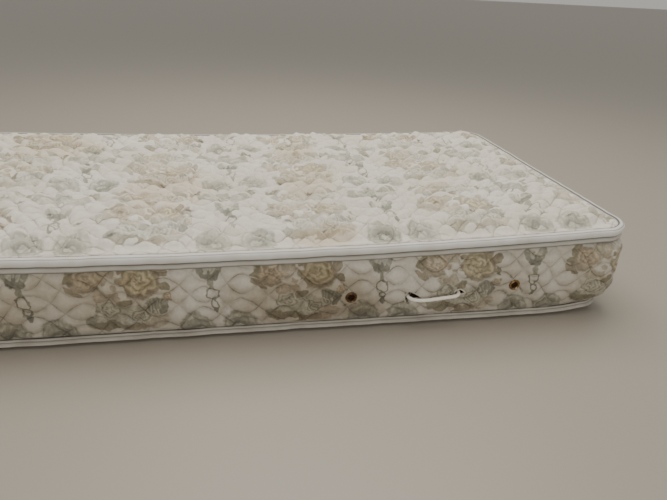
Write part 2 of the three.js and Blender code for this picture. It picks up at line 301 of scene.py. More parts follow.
# %% [markdown]
# ## Rolling a strip round the mattress
#
# Border and tapes are strips. Each one starts as a flat grid, is given its cloth coordinates while
# it is still flat, and is then rolled round the outline. The two ends are merged where they meet.

# %% Strip helpers
def flat_grid(name, across, along):
    """A flat grid of that many faces, as an object, and each vertex's place on it from 0 to 1."""
    bpy.ops.mesh.primitive_grid_add(x_subdivisions=across, y_subdivisions=along, size=1)
    made = bpy.context.object
    made.data.uv_layers.remove(made.data.uv_layers[0])
    made.name = made.data.name = name
    flat = np.zeros(len(made.data.vertices) * 3)
    made.data.vertices.foreach_get("co", flat)
    flat = flat.reshape(-1, 3) + 0.5
    return made, flat[:, 0], flat[:, 1]


def write_places(made, x, y, z):
    """Moves the vertices of a piece to those places."""
    made.data.vertices.foreach_set("co", np.stack([x, y, z], axis=1).ravel())
    made.data.update()


def write_map(made, name, u, v):
    """Stores where each corner lies on the flat cloth, in metres, as a UV map of that name."""
    layer = made.data.uv_layers.get(name) or made.data.uv_layers.new(name=name)
    vertex = np.zeros(len(made.data.loops), int)
    made.data.loops.foreach_get("vertex_index", vertex)
    layer.data.foreach_set("uv", np.stack([u[vertex], v[vertex]], axis=1).ravel())


def edit(made, operator, open_edges=False, **settings):
    """Does one edit-mode operation on the whole of a piece, or on its open edges."""
    bpy.ops.object.select_all(action="DESELECT")
    made.select_set(True)
    bpy.context.view_layer.objects.active = made
    bpy.ops.object.mode_set(mode="EDIT")
    bpy.ops.mesh.select_all(action="DESELECT" if open_edges else "SELECT")
    if open_edges:
        bpy.ops.mesh.select_non_manifold()
    operator(**settings)
    bpy.ops.object.mode_set(mode="OBJECT")


def close_up(made, closing=None):
    """Merges what meets, closes what is open, turns the faces outwards and smooths the shading."""
    edit(made, bpy.ops.mesh.remove_doubles, threshold=1e-5)
    if closing:
        edit(made, closing, open_edges=True)
    edit(made, bpy.ops.mesh.normals_make_consistent, inside=False)
    bpy.ops.object.shade_smooth()


def finish_piece(made, node, material=None):
    """Gives a piece its finish and its body, and hides the CAD node that it stands for."""
    if material:
        made.data.materials.append(material)
    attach(made, "root")
    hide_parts(node)
    print(made.name, len(made.data.polygons), "faces")

# %% [markdown]
# ## The border
#
# The border is quilted cloth over the filling, drawn in at both seams and bulging between them.
# One strip is rolled round the outline. Its first and last rows turn inwards and are bridged, so
# the border is a closed, padded band.

# %% Border
BORDER_COLUMNS, BORDER_ROWS = 1352, 40
BORDER_PUFF, BORDER_LEVEL, CORNER_FLATTENING = 0.0108, 0.55, 0.65
BAND_DEPTH = 0.050
SEAM_REACH = 0.014  # the quilting flattens towards a seam
JOIN_REACH = 0.012  # the sewn join of the border, in the middle of the far side
SEAT_INSET, SEAT_REACH = 0.0066, 0.010  # where the fittings sit
FLAT_PLACES = []  # of the fittings: along, up and radius
for fitting in ("vent_left_ring", "vent_right_ring", "handle_eyelet"):
    low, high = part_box(fitting)
    FLAT_PLACES.append(((low.x + high.x) / 2, (low.z + high.z) / 2, (high.x - low.x) / 2))

border, along, up = flat_grid("quilted_border", BORDER_COLUMNS, BORDER_ROWS + 2)
u = (along - 0.5) * PERIMETER
row = np.rint(up * (BORDER_ROWS + 2)) - 1
t = np.clip(row / BORDER_ROWS, 0, 1)
plan_x, plan_y = outline(u, 0)
corner = cornerness(plan_x, plan_y)
middle = BULGE_INSET - CORNER_BULGE * corner**2
drawn_in = np.abs(2 * t - 1) ** (4 + 5 * corner * t)
inset = middle + (SEAM_INSET - middle) * drawn_in + CORNER_TUCK * corner * (1 - t) ** 4
low = BORDER_BOTTOM + CORNER_LIFT * corner
x, y = outline(u, inset)
z = low + t * (groove_height(x, y) - SEAM_BELOW_GROOVE - low)
v = z.copy()
seam_fade = smooth(np.minimum(z - low, groove_height(x, y) - SEAM_BELOW_GROOVE - z)
                   / SEAM_REACH)
join_fade = smooth((PERIMETER / 2 - np.abs(u)) / JOIN_REACH)
sewn_u, sewn_v = u + 0.005 * lumps(u, v, 0.10, 1), v + 0.0026 * lumps(u, v, 0.08, 2)
relief = BORDER_PUFF * (puff(sewn_u, sewn_v, BORDER_QUILTING) - BORDER_LEVEL)
relief *= 1 - CORNER_FLATTENING * corner
relief += 0.0016 * lumps(u, v, 0.06, 3)
relief += 0.0008 * pucker(sewn_u, sewn_v, BORDER_QUILTING) * lumps(u, v, 0.009, 4)
inset = inset - relief * seam_fade * join_fade
# The cloth lies flat under the fittings, and sinks a little where the handle comes out.
for place_x, place_z, reach in FLAT_PLACES:
    near = smooth((reach + SEAT_REACH - np.hypot(u - place_x, v - place_z)) / SEAT_REACH)
    inset = inset + near * (SEAT_INSET - inset)
inset = np.where((row < 0) | (row > BORDER_ROWS), BAND_DEPTH, inset)
x, y = outline(u, inset)
write_map(border, "cloth", u, v)
write_map(border, "stitching", sewn_u, sewn_v)
write_places(border, x, y + MIDDLE_Y, z)
close_up(border, bpy.ops.mesh.bridge_edge_loops)
print("border:", len(border.data.polygons), "faces")

# %% [markdown]
# ## The sleeping panel
#
# The panel is a quilted sheet of padding inside the tape. It starts as a flat grid whose square
# corners are drawn in to quarter circles, and every vertex is then lifted to its height: the sag,
# a narrow flat flange beside the tape, the crown of the filling and the quilting.

# %% Sleeping panel
PANEL_COLUMNS, PANEL_ROWS = 366, 166
PANEL_PUFF, PANEL_LEVEL, PIT_DEPTH = 0.0140, 0.45, 0.008
QUILT_REACH = 0.012  # the quilting rises over this width beside the flange
STITCH_DEPTH, STITCH_REACH = 0.003, 0.003  # the flange's row of stitches
EDGE_DROP, EDGE_REACH = 0.0035, 0.006  # its free edge, pressed down on the tape
SKIRT_ABOVE_GROOVE = 0.006  # how deep the panel's underside lies
SKIRT_LENGTH_SHARE = 1 - 2 * FLANGE_LAP / (HALF_LENGTH + HALF_WIDTH)
SKIRT_WIDTH_SHARE = 0.98

panel, across, along = flat_grid("sleeping_panel", PANEL_COLUMNS, PANEL_ROWS)
edge_inset = PANEL_INSET - FLANGE_LAP
half_x, half_y = HALF_LENGTH - edge_inset, HALF_WIDTH - edge_inset
x, y = (2 * across - 1) * half_x, (2 * along - 1) * half_y
corner_radius = CORNER_RADIUS - edge_inset
a = np.maximum(np.abs(x) - half_x + corner_radius, 0) / corner_radius
b = np.maximum(np.abs(y) - half_y + corner_radius, 0) / corner_radius
in_corner = (a > 0) & (b > 0)
round_x = half_x - corner_radius + corner_radius * a * np.sqrt(1 - b * b / 2)
round_y = half_y - corner_radius + corner_radius * b * np.sqrt(1 - a * a / 2)
x = np.where(in_corner, np.sign(x) * round_x, x)
y = np.where(in_corner, np.sign(y) * round_y, y)
from_edge = inside_outline(x, y) - PANEL_INSET - FLANGE_WIDTH
crown = PANEL_CROWN * (1 - np.exp(-np.maximum(from_edge, 0) / CROWN_REACH))
quilted = smooth(from_edge / QUILT_REACH)
sewn_x, sewn_y = x + 0.009 * lumps(x, y, 0.10, 5), y + 0.006 * lumps(x, y, 0.10, 6)
relief = PANEL_PUFF * (puff(sewn_x, sewn_y, PANEL_QUILTING) - PANEL_LEVEL)
relief -= PIT_DEPTH * pits(x, y)
relief += 0.0026 * lumps(x, y, 0.08, 7) + 0.0014 * lumps(x, y, 0.03, 8)
relief += 0.0012 * pucker(sewn_x, sewn_y, PANEL_QUILTING) * lumps(x, y, 0.010, 9)
flange_stitch = -STITCH_DEPTH * np.exp(-((from_edge / STITCH_REACH) ** 2))
free_edge = smooth((from_edge + FLANGE_WIDTH + FLANGE_LAP) / EDGE_REACH)
flange_stitch -= EDGE_DROP * (1 - free_edge)
z = groove_height(x, y) + FLANGE_ABOVE_GROOVE + crown + quilted * relief + flange_stitch
write_map(panel, "cloth", x, y)
write_map(panel, "stitching", sewn_x, sewn_y)
write_places(panel, x, y + MIDDLE_Y, z)
edit(panel, bpy.ops.mesh.extrude_region_move, open_edges=True)
for vertex in panel.data.vertices:
    if vertex.select:
        place = vertex.co
        place.x *= SKIRT_LENGTH_SHARE
        place.y = (place.y - MIDDLE_Y) * SKIRT_WIDTH_SHARE + MIDDLE_Y
        place.z = groove_height(place.x, place.y - MIDDLE_Y) + SKIRT_ABOVE_GROOVE
close_up(panel, bpy.ops.mesh.fill)
print("panel: %.3f x %.3f m" % (2 * half_x, 2 * half_y))

# %% [markdown]
# ## The tapes
#
# Woven tape is folded over each edge. The upper one has a padded bead that rolls over the edge, a
# deep stitched groove, and a flat leg on the border; the lower one has a small bead on the floor.
# Each is a thin ribbon whose section is a closed loop, rolled round the outline.

# %% Tapes
TAPE_COLUMNS, TAPE_CLOTH = 900, 0.0016
LINE_STEPS = 12  # points worked out between two given ones
TOP_SECTION = [  # inset and height over the groove, in millimetres, from the leg's lower edge up
    (6.5, -11.7), (4, -10.8), (3, -8.5), (2.9, -5.5), (4, -2.6), (8, -0.6), (12.5, 0.2),
    (8.5, 1.2), (4, 2.4), (1.2, 5.6), (0.2, 9.8), (1.2, 14.2), (3, 16.8), (5, 17.2), (7, 18.7),
    (10.8, 19.1), (14.2, 18), (18, 15),
]
BOTTOM_SECTION = [  # inset and height over the floor, in millimetres
    (18, 0.4), (16, 2.6), (12.5, 5.6), (8, 6.4), (5.2, 7.8), (5.8, 10.6), (8.8, 11.8),
    (7.6, 13.2), (7.8, 16), (9.6, 19), (12.5, 19.5),
]


def smooth_line(points, steps):
    """The same line through its points, rounded, with that many equal steps."""
    points = np.array(points)
    ends = np.vstack([2 * points[0] - points[1], points, 2 * points[-1] - points[-2]])
    s = np.linspace(0, 1, LINE_STEPS, endpoint=False)[:, None]
    fine = [
        0.5 * (2 * p1 + (p2 - p0) * s + (2 * p0 - 5 * p1 + 4 * p2 - p3) * s**2)
        + 0.5 * (3 * p1 - p0 - 3 * p2 + p3) * s**3
        for p0, p1, p2, p3 in zip(ends, ends[1:], ends[2:], ends[3:])
    ]
    fine = np.vstack(fine + [points[-1:]])
    along = np.concatenate([[0], np.cumsum(np.linalg.norm(np.diff(fine, axis=0), axis=1))])
    at = np.linspace(0, along[-1], steps + 1)
    return np.stack([np.interp(at, along, column) for column in fine.T], axis=1), along[-1]


def tape(name, section, steps, height_at, tuck, lift, seed):
    """A ribbon with that section round the mattress; returns it and its flat width."""
    outer, width = smooth_line(MM * np.array(section), steps)
    run = np.gradient(outer, axis=0)
    inward = np.stack([run[:, 1], -run[:, 0]], axis=1)
    inward /= np.linalg.norm(inward, axis=1)[:, None]
    inner = outer + inward * TAPE_CLOTH
    loop = np.vstack([outer, inner[::-1], outer[:1]])
    across = np.linspace(0, width, steps + 1)
    across = np.concatenate([across, across[::-1], across[:1]])
    made, along, around = flat_grid(name, TAPE_COLUMNS, len(loop) - 1)
    k = np.rint(around * (len(loop) - 1)).astype(int)
    u = (along - 0.5) * PERIMETER
    plan_x, plan_y = outline(u, 0)
    corner = cornerness(plan_x, plan_y)
    wander = 0.0006 * lumps(u, 0 * u, 0.05, seed) + 0.0003 * lumps(u, 0 * u, 0.014, seed + 1)
    inset = loop[k, 0] + tuck * corner - wander
    x, y = outline(u, inset)
    z = loop[k, 1] + height_at(plan_x, plan_y) + lift * corner
    write_map(made, "cloth", u, across[k])
    write_places(made, x, y + MIDDLE_Y, z)
    close_up(made)
    return made, width


top_tape, top_tape_width = tape("upper_edge_tape", TOP_SECTION, 26, groove_height, 0, 0, 11)
bottom_tape, bottom_tape_width = tape(
    "lower_edge_tape", BOTTOM_SECTION, 20, lambda x, y: 0 * x, CORNER_TUCK, CORNER_LIFT, 13
)
print("tapes: %.1f and %.1f mm wide" % (1000 * top_tape_width, 1000 * bottom_tape_width))

# %% [markdown]
# ## The print
#
# The cloth is printed with a floral repeat: a stem of rings between two scalloped shells, and a
# bouquet of full-blown roses with leaves beside it. A printer would draw it as a chart of plain
# shapes, and so does this: ellipses laid over each other in three muted inks, and roses whose
# petals are a spiral. The chart is one node group, so the border and the panel share it.

# %% The chart of the print
REPEAT = 0.350  # along the mattress
REPEAT_START = -0.080  # the plain ground left of the stem, where one repeat ends
REPEAT_UP = 0.290  # across the panel
PRINT_LEAN = 0.12  # sideways for each metre up
GROUND, PALE = "#dddad1", "#e6e3db"
SAGE, DEEP_SAGE, PALE_SAGE, HIGHLIGHT = "#9b9c8f", "#7f8074", "#bdbdb1", "#bcbcb0"
BROWN, OLIVE, SAND = "#958c79", "#908b75", "#b9b1a0"

# Place along and up, half width, half height, turn in degrees, ink. In millimetres. Those of the
# stem are mirrored, so each stands for a pair.
STEM_SHAPES = [
    (13, 160, 12, 22, -22, SAGE), (4, 148, 15, 12, 0, DEEP_SAGE), (9, 164, 5, 13, -20, PALE_SAGE),
    (0, 124, 6, 20, 0, SAGE), (0, 104, 14, 15, 0, DEEP_SAGE), (0, 104, 10, 11, 0, PALE),
    (0, 82, 9, 11, 0, DEEP_SAGE), (0, 82, 5, 7, 0, GROUND), (0, 66, 5, 9, 0, DEEP_SAGE),
    (44, 24, 37, 41, 0, SAGE), (44, 24, 32, 34, 0, PALE_SAGE), (44, 22, 27, 28, 0, SAGE),
    (42, 20, 18, 15, 0, DEEP_SAGE), (40, 20, 12, 6, 0, HIGHLIGHT),
    (30, 222, 34, 24, 25, SAGE), (24, 222, 20, 13, 25, PALE_SAGE), (0, 250, 16, 24, 0, SAGE),
    (62, 262, 18, 10, -35, OLIVE), (0, 206, 10, 9, 0, DEEP_SAGE), (0, 206, 6, 5, 0, PALE),
]
BOUQUET_SHAPES = [
    (170, 60, 72, 30, 4, PALE_SAGE), (122, 148, 38, 30, 15, BROWN), (214, 140, 43, 38, 0, BROWN),
    (166, 168, 32, 20, 0, SAND), (150, 108, 26, 18, 0, SAND), (94, 150, 20, 8, 30, OLIVE),
    (92, 122, 19, 8, -35, BROWN), (100, 172, 18, 8, 50, OLIVE), (259, 156, 18, 10, 30, BROWN),
    (262, 128, 15, 8, -25, OLIVE), (246, 174, 16, 9, 60, BROWN), (140, 40, 44, 14, -8, OLIVE),
    (224, 44, 34, 16, 18, SAND), (112, 60, 20, 8, 40, SAGE), (186, 34, 30, 9, 6, BROWN),
    (250, 76, 14, 7, 55, DEEP_SAGE), (236, 92, 20, 12, -10, SAGE), (178, 94, 18, 9, 25, OLIVE),
    (158, 134, 20, 17, 0, PALE), (150, 142, 8, 6, 30, SAND), (166, 128, 8, 6, -30, SAND),
    (184, 162, 13, 11, 0, PALE), (184, 162, 7, 6, 0, BROWN), (180, 118, 9, 12, 20, PALE),
    (128, 76, 10, 20, -60, PALE), (206, 60, 22, 8, 35, PALE), (150, 30, 15, 6, 10, PALE),
    (150, 228, 46, 26, 10, SAGE), (222, 226, 40, 24, -12, PALE_SAGE), (186, 258, 34, 18, 0, SAND),
    (120, 262, 26, 10, 35, OLIVE), (250, 262, 22, 10, -30, SAGE), (190, 206, 18, 7, 0, OLIVE),
]
# Roses: place, radius, how far the petals turn, shade and light.
ROSES = [
    (122, 150, 26, 1.0, BROWN, "#cabda7"), (214, 142, 33, -1.0, OLIVE, "#cdc2a6"),
    (146, 80, 24, 1.0, SAGE, "#d0cfc2"), (204, 62, 19, -1.0, DEEP_SAGE, "#c6c4b3"),
    (262, 100, 12, 1.0, BROWN, "#c8bca6"), (152, 232, 28, -1.0, BROWN, "#cdc5b2"),
    (226, 230, 24, 1.0, SAGE, "#cfcdc0"),
]
ROSE_SQUASH, ROSE_LOBES, LOBE_DEPTH, PETAL_TIGHTNESS = 0.86, 5.0, 0.07, 15.0
GRASS_TUFT, BLADE_MM = (238, 84, 26, 22, 0), 7.48
SHAKE_MM, SHAKE_SWING = 13.333, 0.014
PAINT = {"data_type": "RGBA"}  # a Mix that covers
STAIN = {"data_type": "RGBA", "blend_type": "MULTIPLY"}  # a Mix that dyes


def new_group(name, gives, kind):
    """A node group from a place to that one output, and its two end nodes."""
    group = bpy.data.node_groups.new(name, "ShaderNodeTree")
    for label, way, socket in (("Place", "INPUT", "Vector"), (gives, "OUTPUT", kind)):
        group.interface.new_socket(label, in_out=way, socket_type="NodeSocket" + socket)
    return group, group.nodes.new("NodeGroupInput"), group.nodes.new("NodeGroupOutput")


def in_shape(tree, place, shape):
    """The place measured from the shape's middle and turned with it, and how far out that is."""
    along, up, half_width, half_height, turn = shape
    local = add_node(tree, "Mapping", {
        "Vector": place, "Location": (along * MM, up * MM, 0),
        "Rotation": (0, 0, math.radians(turn)), "Scale": (half_width * MM, half_height * MM, 1),
    }, vector_type="TEXTURE")
    return local, add_node(tree, "VectorMath LENGTH", [local])


# A MapRange node's list is the value, the range it comes from and the range it goes to.
def patches(tree, where, size_mm, detail, low, high, least=0.0, most=1.0, distortion=0.0):
    """Random patches of about that size: a noise whose values low to high become least to most."""
    noise = add_node(tree, "TexNoise", {
        "Vector": where, "Scale": 1000 / size_mm, "Detail": detail, "Distortion": distortion})
    return add_node(tree, "MapRange", [noise, low, high, least, most])


def paint_ellipse(tree, colour, place, shape, ink):
    """The colour with one soft-edged ellipse of ink over it."""
    _, out = in_shape(tree, place, shape)
    cover = add_node(tree, "MapRange", [out, 1.04, 0.90, 0.0, 0.92])
    return add_node(tree, "Mix", {0: cover, 6: colour, 7: ink}, **PAINT)


def paint_rose(tree, colour, place, rose):
    """The colour with a full-blown rose over it, whose petals are the turns of a spiral."""
    along, up, radius, turning, shade, light = rose
    local, out = in_shape(tree, place, (along, up, radius, radius * ROSE_SQUASH, 0))
    axes = add_node(tree, "SeparateXYZ", [local])
    angle = add_node(tree, "Math ARCTAN2", [axes.outputs[1], axes.outputs[0]])
    lobes = add_node(tree, "Math MULTIPLY", [angle, ROSE_LOBES])
    lobes = add_node(tree, "Math SINE", [lobes])
    edge = add_node(tree, "Math MULTIPLY_ADD", [lobes, LOBE_DEPTH, out])
    reach = add_node(tree, "Math MULTIPLY", [edge, PETAL_TIGHTNESS])
    turns = add_node(tree, "Math MULTIPLY_ADD", [angle, turning, reach])
    petals = add_node(tree, "Math SINE", [turns])
    petals = add_node(tree, "MapRange", [petals, -0.9, 0.8, 0.22, 0.95])
    cover = add_node(tree, "MapRange", [edge, 1.05, 0.93])
    ink = add_node(tree, "Mix", {0: petals, 6: shade, 7: light}, **PAINT)
    return add_node(tree, "Mix", {0: cover, 6: colour, 7: ink}, **PAINT)


chart, start, end = new_group("floral_print", "Colour", "Color")
# Hand-cut edges: the place is shaken by a few millimetres before anything is drawn.
shake = add_node(chart, "TexNoise", {"Vector": start, "Scale": 1000 / SHAKE_MM})
shake = add_node(chart, "VectorMath SUBTRACT", [shake.outputs["Color"], (0.5,) * 3])
shaken = add_node(chart, "VectorMath MULTIPLY_ADD", [shake, (SHAKE_SWING,) * 3, start])
axes = add_node(chart, "SeparateXYZ", [shaken])
# The cloth was laid a little askew, so the design leans to the left as it goes up.
leaning = add_node(chart, "Math MULTIPLY_ADD", [axes.outputs[1], PRINT_LEAN, axes.outputs[0]])
along = add_node(chart, "Math WRAP", [leaning, REPEAT_START + REPEAT, REPEAT_START])
place = add_node(chart, "CombineXYZ", [along, axes.outputs[1]])
beside = add_node(chart, "Math ABSOLUTE", [along])
mirrored = add_node(chart, "CombineXYZ", [beside, axes.outputs[1]])
colour = GROUND
for where, shapes in ((mirrored, STEM_SHAPES), (place, BOUQUET_SHAPES)):
    for *shape, ink in shapes:
        colour = paint_ellipse(chart, colour, where, shape, ink)
for rose in ROSES:
    colour = paint_rose(chart, colour, place, rose)
# Grass: fine upright strokes beside the lower rose.
blades = add_node(chart, "TexWave", {
    "Vector": place, "Scale": 100 * math.pi / BLADE_MM, "Distortion": 3.5, "Detail Scale": 2.0})
_, tuft = in_shape(chart, place, GRASS_TUFT)
tuft = add_node(chart, "MapRange", [tuft, 1.0, 0.7])
tuft = add_node(chart, "Math MULTIPLY", [tuft, blades.outputs["Fac"]])
colour = add_node(chart, "Mix", {0: tuft, 6: colour, 7: "#85867a"}, **PAINT)
# Inside every printed shape the ink is broken by fine veins, lighter and darker.
printed = add_node(chart, "VectorMath DISTANCE", [colour, linear(GROUND)[:3]])
printed = add_node(chart, "MapRange", [printed, 0.06, 0.30])
veins = patches(chart, place, 13.889, 3.0, 0.36, 0.64, 0.42, 0.64, 2.0)
colour = add_node(chart, "Mix", {0: printed, 6: colour, 7: veins}, data_type="RGBA",
                  blend_type="OVERLAY")
feed(chart, end, [colour])
print("print:", len(STEM_SHAPES) + len(BOUQUET_SHAPES) + len(ROSES), "shapes")

# %% [markdown]
# ## Stitch lines in the finish
#
# The mesh carries the puffs, but a sewing thread is thinner than its faces. The same wave formula
# is therefore worked out in the finish, where it gives a dark painted shadow where the fold closes
# over the thread, the crease, and a band of dirt and painted shade beside it, always exactly in the
# channel of the mesh.

# %% Stitch lines as nodes
def stitch_group(name, pattern):
    """A node group that gives the distance to the nearest stitch line, in metres."""
    wave, swing, offset, pitch, _ = pattern
    group, start, end = new_group(name, "Distance", "Float")
    axes = add_node(group, "SeparateXYZ", [start])
    phase = add_node(group, "Math MULTIPLY", [axes.outputs[0], 2 * math.pi / wave])
    crest = add_node(group, "Math COSINE", [phase])
    line = add_node(group, "Math MULTIPLY_ADD", [crest, -swing, offset])
    slope = add_node(group, "Math SINE", [phase])
    slope = add_node(group, "Math MULTIPLY", [slope, swing * 2 * math.pi / wave])
    square = add_node(group, "Math MULTIPLY_ADD", [slope, slope, 1.0])
    stretch = add_node(group, "Math SQRT", [square])
    nearest = 1.0
    for side in ("SUBTRACT", "ADD"):
        off = add_node(group, "Math " + side, [axes.outputs[1], line])
        off = add_node(group, "Math WRAP", [off, pitch / 2, -pitch / 2])
        off = add_node(group, "Math ABSOLUTE", [off])
        off = add_node(group, "Math DIVIDE", [off, stretch])
        nearest = add_node(group, "Math MINIMUM", [off, nearest])
    feed(group, end, [nearest])
    print(name, "repeats every %.0f by %.0f mm" % (wave / MM, pitch / MM))
    return group


border_stitches = stitch_group("border_stitches", BORDER_QUILTING)
panel_stitches = stitch_group("panel_stitches", PANEL_QUILTING)

# %% [markdown]
# ## Quilted ticking
#
# Ticking is a dense, matt cotton and polyester cloth. Its colours are the print, seen through years
# of use: the side has turned dingy and is darker towards the bottom, the channels carry dirt and
# painted shade, and the panel has pale yellow and pinkish blooms where it was slept on and painted
# shadows at the knots of its stitching. Its bump is the crease of the stitching, small gathers
# beside it, and the weave, drawn coarser than real threads so that it shows.

# %% Quilted ticking
WEAVE_MM = 2.4
CREASE_REACH = 0.0040
DARKENING_TOP, DARKENING_FULL = 0.150, 0.018  # heights where the side's darkening towards the bottom begins, and where it is full
KNOT_SHAPE, KNOT_WOBBLE = (0, 0, 13.0, 3.6, 0), (0.012, 0.007, 0)


def knot_shadows(tree, cloth):
    """1 in the painted shadow at each knot of the panel's stitching, on both staggered lattices."""
    marks = 0.0
    for shift in (0.0, 0.5):
        corner = [p + shift * s for p, s in zip(PIT_STAGGER, PIT_SPACING)]
        local = add_node(tree, "VectorMath SUBTRACT", [cloth, (*corner, 0)])
        half = [s / 2 for s in PIT_SPACING]
        local = add_node(tree, "VectorMath WRAP", [local, (*half, 1), (-half[0], -half[1], -1)])
        _, out = in_shape(tree, local, KNOT_SHAPE)
        mark = add_node(tree, "MapRange", [out, 1.0, 0.35])
        marks = add_node(tree, "Math MAXIMUM", [mark, marks])
    return marks


def ticking(name, stitches, channel_shadow_share, fade, dinge, dinge_share, low_darkening, knot_shadow_share, stains):
    """Printed and quilted cloth: how dark its painted channel shadow, how faded, how dingy, how much
    darker low down, how dark its painted knot shadows, and its stains.
    """
    material, tree, shader = new_material(name)
    cloth = add_node(tree, "UVMap", uv_map="cloth")
    start_along, start_up = PRINT_START[name]
    shifted = add_node(tree, "Mapping", {
        "Vector": cloth, "Location": (-start_along, -start_up, 0)})
    axes = add_node(tree, "SeparateXYZ", [shifted])
    up = add_node(tree, "Math WRAP", [axes.outputs[1], REPEAT_UP, 0.0])
    folded = add_node(tree, "CombineXYZ", [axes.outputs[0], up])
    design = add_node(tree, "Group", [folded], node_tree=chart)
    # The print has faded in patches as big as a hand.
    rubbed = patches(tree, cloth, 90.91, 3.0, 0.38, 0.64, *fade)
    colour = add_node(tree, "Mix", {0: rubbed, 6: design, 7: GROUND}, **PAINT)
    # The print's own grain, as of a woven figure: streaks of a few millimetres.
    grain = patches(tree, cloth, 6.25, 3.0, 0.3, 0.7, 0.93, 1.05)
    colour = add_node(tree, "VectorMath MULTIPLY", [colour, grain])
    # Dinge: broad clouds of grey-brown.
    cloud = patches(tree, cloth, 200, 4.0, 0.35, 0.7, *dinge_share)
    colour = add_node(tree, "Mix", {0: cloud, 6: colour, 7: dinge}, **STAIN)
    # Stains: ovals whose rims are made ragged.
    ragged = add_node(tree, "TexNoise", {"Vector": cloth, "Scale": 1000 / 35.714, "Detail": 5.0})
    for *shape, tint, share in stains:
        _, out = in_shape(tree, cloth, (*shape, 0))
        out = add_node(tree, "Math MULTIPLY_ADD", [ragged, -1.1, out])
        cover = add_node(tree, "MapRange", [out, 0.5, 0.05, 0.0, share])
        colour = add_node(tree, "Mix", {0: cover, 6: colour, 7: tint}, **STAIN)
    # The side is made darker towards the bottom, in a grey-brown tint.
    if low_darkening:
        height = add_node(tree, "SeparateXYZ", [cloth]).outputs[1]
        darkening = add_node(tree, "MapRange", [height, DARKENING_TOP, DARKENING_FULL, 0.0, low_darkening])
        colour = add_node(tree, "Mix", {0: darkening, 6: colour, 7: "#9c8f7c"}, **STAIN)
    # Channels: a band of dirt and painted shade along the stitch line, and over the line a darker
    # painted shadow where the fold closes, both broken unevenly.
    sewn = add_node(tree, "UVMap", uv_map="stitching")
    distance = add_node(tree, "Group", [sewn], node_tree=stitches)
    uneven = patches(tree, cloth, 45.455, 3.0, 0.40, 0.66, 0.10)
    for reach, share, tint in ((0.0045, 0.35, "#b3aa9b"), (0.0011, channel_shadow_share, "#5d584f")):
        line = add_node(tree, "MapRange", [distance, reach, 0.0, 0.0, share])
        line = add_node(tree, "Math MULTIPLY", [line, uneven])
        colour = add_node(tree, "Mix", {0: line, 6: colour, 7: tint}, **STAIN)
    # Painted shadows: short dark strokes in the pits of the panel's knots, shaken by a wobble.
    if knot_shadow_share:
        broken = add_node(tree, "TexNoise", {"Vector": cloth, "Scale": 1000 / 7.692})
        wobble = add_node(tree, "VectorMath MULTIPLY_ADD", [
            broken.outputs["Color"], KNOT_WOBBLE, cloth])
        wobble = add_node(tree, "VectorMath SUBTRACT", [wobble, [w / 2 for w in KNOT_WOBBLE]])
        marks = add_node(tree, "Math MULTIPLY", [knot_shadows(tree, wobble), knot_shadow_share])
        colour = add_node(tree, "Mix", {0: marks, 6: colour, 7: "#4b463e"}, **STAIN)
    # Relief: the crease, the gathers and the weave.
    crease = add_node(tree, "MapRange", [distance, 0.0, CREASE_REACH])
    gathers = add_node(tree, "TexNoise", {
        "Vector": cloth, "Scale": 1000 / 11.111, "Detail": 4.0})
    # Slanting bands turn ten radians a unit, so this scale repeats them each WEAVE_MM.
    weave = add_node(tree, "TexWave", {
        "Vector": cloth, "Scale": 200 * math.pi / WEAVE_MM, "Distortion": 1.0},
        bands_direction="DIAGONAL")
    relief = add_node(tree, "Math MULTIPLY_ADD", [gathers, 0.9, crease])
    relief = add_node(tree, "Math MULTIPLY_ADD", [weave.outputs["Fac"], 0.06, relief])
    bump = add_node(tree, "Bump", {"Height": relief, "Strength": 0.7, "Distance": 0.0018})
    feed(tree, shader, {
        "Base Color": colour, "Roughness": 0.86, "Sheen Weight": 0.15, "Normal": bump})
    print(name, len(tree.nodes), "nodes")
    return material


PRINT_START = {"border_ticking": (0.030, 0.0), "panel_ticking": (0.070, -0.130)}
SIDE_STAINS = [  # along and up the border, half sizes, tint, share
    (-180, 120, 170, 70, "#ddd0ba", 0.28), (210, 80, 190, 80, "#cfc6b6", 0.70),
    (560, 60, 120, 40, "#dbd4c6", 0.30), (880, 60, 90, 60, "#dad0bd", 0.40),
    (-420, 90, 120, 80, "#d9ccb3", 0.35),
]
TOP_STAINS = [
    (-90, -130, 110, 170, "#f4e4d4", 0.45), (250, -90, 80, 130, "#f2e4d3", 0.40),
    (250, 180, 70, 110, "#eadcc6", 0.50), (-430, 210, 140, 120, "#eadcc4", 0.50),
    (520, 60, 80, 70, "#e9dfcd", 0.40), (-620, -120, 160, 160, "#efdfca", 0.45),
    (250, -390, 80, 40, "#efdcc4", 0.45),
]
border_ticking = ticking("border_ticking", border_stitches, 0.75, (0.0, 0.10), "#cec9be",
                         (0.30, 1.0), 0.45, 0.0, SIDE_STAINS)
panel_ticking = ticking("panel_ticking", panel_stitches, 0.70, (0.05, 0.52), "#f0ebdd",
                        (0.0, 0.6), 0.0, 0.62, TOP_STAINS)
border.data.materials.append(border_ticking)
finish_piece(panel, "top_panel", panel_ticking)

# %% [markdown]
# ## Woven tape
#
# The edge tape is a narrow twill of synthetic yarn, once white. Its ribs slant across the tape, and
# are drawn twice as wide as real ones so that they show. Dust and painted shade grey the leg, and
# dark lines of painted shade lie in the groove and along the edges under the leg, the flange and
# the lower tape.

# %% Woven tape
RIB_MM, RIB_SLANT = 4.4, 0.8
LEG_FADE = (0.002, -0.001)  # where the leg's dust and painted shade begin and are full, over its own upper edge
